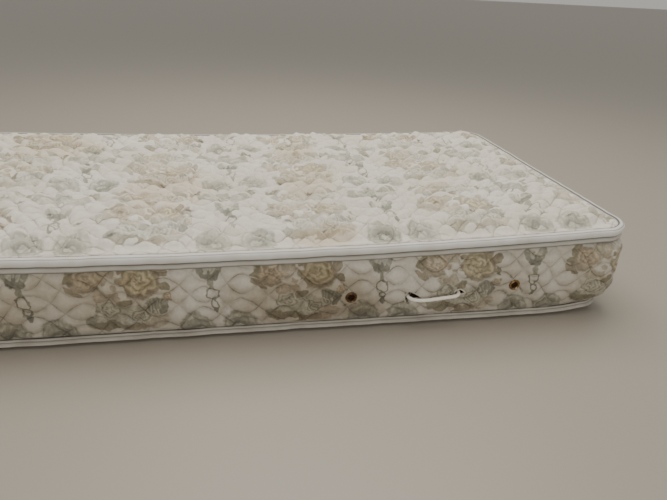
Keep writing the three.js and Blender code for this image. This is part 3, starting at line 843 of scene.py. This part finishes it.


def woven_tape(name, lines, leg_width, clean, dusty):
    """White twill tape with dark lines at those distances across it, painted shade where they lie in
    grooves and under edges, and greyed on its leg by dust and painted shade.
    """
    material, tree, shader = new_material(name)
    cloth = add_node(tree, "UVMap", uv_map="cloth")
    along, across = add_node(tree, "SeparateXYZ", [cloth]).outputs[:2]
    worn = patches(tree, cloth, 55.556, 4.0, 0.35, 0.7, 0.0, 0.75)
    colour = add_node(tree, "Mix", {0: worn, 6: clean, 7: dusty}, **PAINT)
    if leg_width:
        # The leg faces outwards below the bead: dust and painted shade grey it.
        begins, full = [leg_width + fade for fade in LEG_FADE]
        leg = add_node(tree, "MapRange", [across, begins, full, 0.0, 0.9])
        colour = add_node(tree, "Mix", {0: leg, 6: colour, 7: "#d8d5ce"}, **STAIN)
    for line_at, reach, share in lines:
        off = add_node(tree, "Math SUBTRACT", [across, line_at])
        off = add_node(tree, "Math ABSOLUTE", [off])
        line = add_node(tree, "MapRange", [off, reach, reach * 0.25, 0.0, share])
        colour = add_node(tree, "Mix", {0: line, 6: colour, 7: "#433e36"}, **STAIN)
    slanted = add_node(tree, "Math MULTIPLY_ADD", [across, RIB_SLANT, along])
    ribs = add_node(tree, "Math MULTIPLY", [slanted, 2 * math.pi / (RIB_MM * MM)])
    ribs = add_node(tree, "Math SINE", [ribs])
    shade = add_node(tree, "MapRange", [ribs, -1.0, 1.0, 0.84])
    colour = add_node(tree, "VectorMath MULTIPLY", [colour, shade])
    bump = add_node(tree, "Bump", {"Height": ribs, "Strength": 0.5, "Distance": 0.0004})
    feed(tree, shader, {
        "Base Color": colour, "Roughness": 0.7, "Sheen Weight": 0.1, "Normal": bump})
    return material


# Each dark line: the distance across the tape, how far it reaches, how dark it is. On the upper tape
# the line at 0 is painted shade and dirt under the leg's lower edge, and those at 19.5 and 58 mm are
# painted shade in the stitched groove and under the flange's edge. On the lower tape the line at 0 is
# the painted shadow in the gap between its bead and the floor.
top_twill = woven_tape(
    "twill_tape", [(0.0, 0.0070, 1.0), (0.0195, 0.0064, 1.0), (0.0472, 0.0020, 0.6),
                   (0.0580, 0.0035, 0.9)],
    0.0150, "#e6e6e3", "#cfccc3")
bottom_twill = woven_tape(
    "dusty_twill_tape", [(0.0262, 0.0022, 0.55), (0.0, 0.0130, 1.0)], 0.0, "#bdb9af", "#989184")
finish_piece(top_tape, "top_tape", top_twill)
finish_piece(bottom_tape, "bottom_tape", bottom_twill)

# %% [markdown]
# ## Holes in the border
#
# The cloth is torn where the left end of the handle comes out, and worn into an arch over the
# eyelet at its right end; two round holes are punched for the ventilators. Each hole is cut with
# a boolean, whose cutter is a plug with the hole's outline, so the wall of the pocket takes the
# colour of the old filling inside.

# %% Holes
TORN_OUTLINE = [(421, 75), (424, 81), (427, 85), (434, 84.5), (441, 81), (449, 75.5), (457, 69.5),
                (446, 68.5), (436, 67), (431, 63), (429, 57.5), (425, 58.5), (422, 65)]
ARCH_OUTLINE = [(534.5, 74), (535, 79), (539, 83), (545, 84.5), (551, 82.5), (556, 79), (559.5, 74),
                (553, 72.5), (546, 72.5), (540, 70)]
PUNCHED_RADIUS, PUNCHED_SIDES = 0.0095, 32
POCKET_DEPTH, PLUG_STANDS_OUT = 0.024, 0.02


def fibrous(name, size_mm, detail, dark, pale, roughness, laid=True):
    """A material of two mingled tints, on the piece's own cloth map or, if not laid, in space."""
    material, tree, shader = new_material(name)
    if laid:
        where = add_node(tree, "UVMap", uv_map="cloth")
    else:
        where = add_node(tree, "TexCoord").outputs["Object"]
    fuzz = add_node(tree, "TexNoise", {
        "Vector": where, "Scale": 1000 / size_mm, "Detail": detail})
    tint = add_node(tree, "Mix", {0: fuzz, 6: dark, 7: pale}, **PAINT)
    feed(tree, shader, {"Base Color": tint, "Roughness": roughness})
    return material, tree, shader, where, fuzz


# Old felt and coir filling: dark brown and fibrous, seen only in the depth of the holes.
filling = fibrous("old_filling", 2, 4.0, "#1d150e", "#4f3d2b", 0.95, laid=False)[0]
turns = np.linspace(0, 2 * math.pi, PUNCHED_SIDES, endpoint=False)
punched = PUNCHED_RADIUS * np.stack([np.cos(turns), np.sin(turns)], axis=1)
hole_outlines = [MM * np.array(points) for points in (TORN_OUTLINE, ARCH_OUTLINE)]
hole_outlines += [punched + place[:2] for place in FLAT_PLACES[:2]]
seat_y = MIDDLE_Y - HALF_WIDTH + SEAT_INSET
for points in hole_outlines:
    bpy.ops.mesh.primitive_circle_add(vertices=len(points), fill_type="NGON")
    plug = bpy.context.object
    across, up = points.T
    write_places(plug, across, seat_y - PLUG_STANDS_OUT + 0 * across, up)
    edit(plug, bpy.ops.mesh.extrude_region_move,
         TRANSFORM_OT_translate={"value": (0, PLUG_STANDS_OUT + POCKET_DEPTH, 0)})
    edit(plug, bpy.ops.mesh.normals_make_consistent, inside=False)
    plug.data.materials.append(filling)
    bpy.ops.object.select_all(action="DESELECT")
    bpy.context.view_layer.objects.active = border
    cut = border.modifiers.new("hole", "BOOLEAN")
    cut.object, cut.solver, cut.material_mode = plug, "EXACT", "TRANSFER"
    bpy.ops.object.modifier_apply(modifier=cut.name)
    bpy.data.objects.remove(plug)
print("border after the holes:", len(border.data.polygons), "faces")

# %% [markdown]
# ## Tubes: cord, frayed threads and torn lips
#
# A tube is a flat grid rolled round a line. The same helper makes the handle's cord, the loose
# threads at the tears and the curled lips of the torn cloth.

# %% Tube helper
STRAND_RISE, STRAND_SINK = 0.07, 0.05  # of the cord's radius, on the strands and between them


def tube(name, points, radius, sides, steps, strands=0, lay_length=1.0):
    """A round tube along a smooth line, its ends closed. Strands make it a twisted cord."""
    line, length = smooth_line(points, steps)
    made, along, around = flat_grid(name, steps, sides)
    k = np.rint(along * steps).astype(int)
    run = np.gradient(line, axis=0)
    run /= np.linalg.norm(run, axis=1)[:, None]
    side = np.cross(run, (0.02, 0.01, 1.0))
    side /= np.linalg.norm(side, axis=1)[:, None]
    over = np.cross(side, run)
    angle = 2 * math.pi * around
    lay = angle - 2 * math.pi * along * length / lay_length
    size = radius + 0 * lay
    if strands:
        size += radius * (STRAND_RISE * np.abs(np.cos(strands * lay / 2)) - STRAND_SINK)
    across, up = size * np.cos(angle), size * np.sin(angle)
    place = line[k] + across[:, None] * side[k] + up[:, None] * over[k]
    write_map(made, "cloth", along * length, around * 2 * math.pi * radius)
    write_places(made, *place.T)
    close_up(made, bpy.ops.mesh.edge_face_add)
    return made, length


# %% [markdown]
# ## Handle cord
#
# The handle is a short white cotton cord of 8 mm. It comes out of the torn hole, lies along the
# border with a little slack, and goes in again through the eyelet. Its whole visible length is
# here, so nothing has to be coiled away.

# %% Handle cord
CORD_DIAMETER, CORD_LAY = 0.0077, 0.013
CORD_ROUTE_MM = [
    (431, -415, 72.5), (428.5, -424, 73.2), (427.5, -433, 73.6), (429.5, -440.5, 73.4),
    (435, -446, 72.8), (443, -449, 72.2), (454, -450.1, 71.7), (467, -450.3, 71.8),
    (481, -450.3, 72.8), (496, -450.3, 74.4), (510, -450.1, 75.6), (521, -449.5, 76.1),
    (530, -447.8, 76.4), (537.4, -444, 76.5), (542, -437.6, 76.6), (543.8, -430, 76.6),
    (544.3, -422.5, 76.5), (544.4, -415, 76.5),
]
route = [(a * MM, b * MM + MIDDLE_Y, c * MM) for a, b, c in CORD_ROUTE_MM]
cord, cord_length = tube("cotton_cord", route, CORD_DIAMETER / 2, 24, 150, 3, CORD_LAY)
print("cord: %.0f mm long" % (1000 * cord_length))

# Twisted cotton: soft white, a little yellowed, greyer between the strands.
cotton, tree, shader, _, fuzz = fibrous(
    "twisted_cotton", 3.3333, 4.0, "#dcd6c6", "#faf7ee", 0.75)
bump = add_node(tree, "Bump", {"Height": fuzz, "Strength": 0.5, "Distance": 0.0006})
feed(tree, shader, {"Sheen Weight": 0.2, "Normal": bump})
finish_piece(cord, "handle_cord", cotton)

# %% [markdown]
# ## Frayed edges
#
# Torn ticking rolls back in a pale lip and sheds loose threads. The lips are thin tubes laid round
# parts of the holes, and the threads are short bent tubes with seeded directions. They belong to
# the border, so they are joined to it.

# %% Frayed edges
THREAD_RADIUS = 0.00028
LIP_OUT, LIP_PLAY = 0.0006, 0.0008  # how far the lips lie out of the cloth, and how unevenly
frayed = fibrous("frayed_cotton", 1.42857, 3.0, "#a59c8a", "#e6e1d5", 0.9, laid=False)[0]
rng = np.random.default_rng(21)
scraps = []
for points, first, last, radius in (
    (TORN_OUTLINE, 0, 13, 0.0010), (ARCH_OUTLINE, 0, 7, 0.0015), (ARCH_OUTLINE, 7, 10, 0.0012),
):
    ring = [points[k % len(points)] for k in range(first, last + 1)]
    lip = [(a * MM, seat_y - LIP_OUT + LIP_PLAY * rng.random(), b * MM) for a, b in ring]
    scraps.append(tube("torn_lip", lip, radius, 8, 10 * len(lip))[0])
THREADS = [(TORN_OUTLINE, 30, 0.009), (ARCH_OUTLINE, 22, 0.007), ([(405, 74.5)], 10, 0.005),
           ([(531, 76), (533, 72), (529, 79)], 14, 0.006)]
for points, count, reach in THREADS:
    for _ in range(count):
        a, b = points[rng.integers(len(points))]
        start = np.array([a * MM, seat_y, b * MM]) + 0.001 * (rng.random(3) - 0.5)
        turn, lift = 2 * math.pi * rng.random(), 0.2 + 0.5 * rng.random()
        way = np.array([math.cos(turn), -lift, math.sin(turn)]) * reach * (0.4 + 0.6 * rng.random())
        bend = 0.3 * reach * (rng.random(3) - 0.5)
        line = [start, start + way * 0.5 + bend, start + way + 2 * bend * (0, 0.3, 1)]
        scraps.append(tube("thread", line, THREAD_RADIUS, 4, 4)[0])
for scrap in scraps:
    scrap.data.materials.append(frayed)
bpy.ops.object.select_all(action="DESELECT")
for made in (*scraps, border):
    made.select_set(True)
bpy.context.view_layer.objects.active = border
bpy.ops.object.join()
finish_piece(border, "border")
print("frayed edges:", len(scraps), "scraps")

# %% [markdown]
# ## Ventilators and eyelet
#
# A ventilator is a pressed brass ring with a wire gauze in its opening. Ring and eyelet are spun:
# the loop of the section is drawn once and turned round the axis that points out of the border.
# The gauze is a small grid with a Wireframe modifier, trimmed round.

# %% Ventilators and eyelet
VENT_SECTION = [  # radius and height over the cloth, in millimetres
    (7.4, -5), (8.8, -5), (9.0, 0.1), (12.4, 0.1), (13.0, 0.7), (12.7, 1.6), (11.8, 2.1),
    (10.6, 1.9), (9.9, 1.3), (9.2, 1.5), (8.6, 2.2), (7.9, 2.0), (7.4, 1.0),
]
EYELET_SECTION = [
    (9.0, -5), (10.2, -5), (10.4, -2.4), (11.6, -2.2), (11.8, -1.5), (11.0, -0.9), (9.8, -0.8),
    (9.0, -1.6),
]
RING_STEPS = 48
GAUZE_RADIUS, GAUZE_CELLS, GAUZE_SPREAD, WIRE_THICKNESS = 0.0073, 14, 1.15, 0.00042
GAUZE_SUNK, GAUZE_DOME = 0.0022, 0.0011


def turned(name, section, place_x, place_z):
    """A ring made by spinning a closed section round an axis that points out of the near side."""
    bpy.ops.mesh.primitive_circle_add(vertices=len(section), fill_type="NOTHING")
    made = bpy.context.object
    made.name = made.data.name = name
    radius, height = MM * np.array(section).T
    write_places(made, place_x + radius, seat_y - height, 0 * radius + place_z)
    edit(made, bpy.ops.mesh.spin, steps=RING_STEPS, angle=2 * math.pi, axis=(0, 1, 0),
         center=(place_x, seat_y, place_z))
    close_up(made)
    rounding = made.modifiers.new("rounded", "SUBSURF")
    rounding.levels = rounding.render_levels = 1
    bpy.ops.object.modifier_apply(modifier=rounding.name)
    return made


def gauze(name, place_x, place_z):
    """A disc of wire gauze, slightly domed outwards."""
    made, across, up = flat_grid(name, GAUZE_CELLS, GAUZE_CELLS)
    x, z = [(2 * at - 1) * GAUZE_RADIUS * GAUZE_SPREAD for at in (across, up)]
    trim = np.minimum(1, GAUZE_RADIUS / np.maximum(np.hypot(x, z), 1e-9))
    x, z = x * trim, z * trim
    dome = GAUZE_DOME * (1 - (x * x + z * z) / GAUZE_RADIUS**2)
    write_places(made, place_x + x, seat_y + GAUZE_SUNK - dome, place_z + z)
    wires = made.modifiers.new("wires", "WIREFRAME")
    wires.thickness = WIRE_THICKNESS
    bpy.ops.object.modifier_apply(modifier=wires.name)
    bpy.ops.object.shade_smooth()
    return made


def brass(name, bright, dull, rust, rust_share):
    """Pressed brass: bright where it is rubbed, dull in the hollows, rusty in patches."""
    material, tree, shader = new_material(name)
    spots = add_node(tree, "TexCoord").outputs["Object"]
    worn = patches(tree, spots, 3.846, 4.0, 0.40, 0.62)
    colour = add_node(tree, "Mix", {0: worn, 6: bright, 7: dull}, **PAINT)
    rusty = patches(tree, spots, 2.381, 3.0, 0.62 - rust_share, 0.68 - rust_share * 0.5)
    colour = add_node(tree, "Mix", {0: rusty, 6: colour, 7: rust}, **PAINT)
    metal = add_node(tree, "MapRange", [rusty, 0.0, 1.0, 1.0, 0.15])
    rough = add_node(tree, "MapRange", [worn, 0.0, 1.0, 0.30, 0.62])
    feed(tree, shader, {"Base Color": colour, "Metallic": metal, "Roughness": rough})
    return material


rusty_brass = brass("rusty_brass", "#96744a", "#5f4429", "#3d2513", 0.22)
golden_brass = brass("golden_brass", "#a98d60", "#6f5738", "#4d3216", 0.10)
grey_brass = brass("worn_eyelet_metal", "#d8cfbe", "#8f8570", "#4a3a28", 0.10)
dark_gauze = brass("dark_gauze", "#7c5b36", "#3f2c1a", "#2a1a0e", 0.20)
for label, finish, (place_x, place_z, _) in zip(
    ("left", "right"), (rusty_brass, golden_brass), FLAT_PLACES
):
    ring = turned("ventilator_ring_" + label, VENT_SECTION, place_x, place_z)
    finish_piece(ring, "vent_%s_ring" % label, finish)
    wires = gauze("ventilator_gauze_" + label, place_x, place_z)
    finish_piece(wires, "vent_%s_mesh" % label, dark_gauze)
eyelet = turned("eyelet_ring", EYELET_SECTION, *FLAT_PLACES[2][:2])
finish_piece(eyelet, "handle_eyelet", grey_brass)

# %% [markdown]
# ## The floor panel
#
# Underneath is a plain panel of unprinted backing cloth, flat on the floor inside the lower tape.
# It is never quilted; a soft edge and the cloth's weave are all it shows.

# %% Floor panel
FLOOR_PANEL_INSET, EDGE_STEPS, BACKING_THREAD_MM = 0.0215, 8, 1.5
FLOOR_SECTION = [  # inset from the panel's edge and height, from the underside round to the top
    (0.20, 0), (0.08, 0), (0.03, 0), (0.0015, 0), (0, 0.003), (0, 0.016), (0.003, 0.019),
    (0.08, 0.019), (0.20, 0.019),
]
backing, around, across = flat_grid("floor_panel", 280, EDGE_STEPS)
u = (around - 0.5) * PERIMETER
section = np.array(FLOOR_SECTION)[np.rint(across * EDGE_STEPS).astype(int)]
tuck = CORNER_TUCK * cornerness(*outline(u, 0))
x, y = outline(u, np.minimum(FLOOR_PANEL_INSET + tuck + section[:, 0], CORNER_RADIUS - 0.001))
deep = np.maximum(section[:, 0] - 0.04, 0)
x, y = x * (1 - deep / HALF_WIDTH), y * (1 - deep / HALF_WIDTH)
write_map(backing, "cloth", x, y)
write_places(backing, x, y + MIDDLE_Y, section[:, 1])
close_up(backing, bpy.ops.mesh.fill)

# Backing cloth: plain, open weave, off-white gone grey.
backing_cloth, tree, shader, cloth, _ = fibrous(
    "backing_cloth", 142.857, 5.0, "#a39b8b", "#c9c3b5", 0.92)
threads = add_node(tree, "TexChecker", {"Vector": cloth, "Scale": 1000 / BACKING_THREAD_MM})
bump = add_node(tree, "Bump", {
    "Height": threads.outputs["Fac"], "Strength": 0.3, "Distance": 0.0003})
feed(tree, shader, {"Normal": bump})
finish_piece(backing, "bottom_panel", backing_cloth)

# %% Sizes and end
bpy.context.view_layer.update()
low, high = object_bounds()
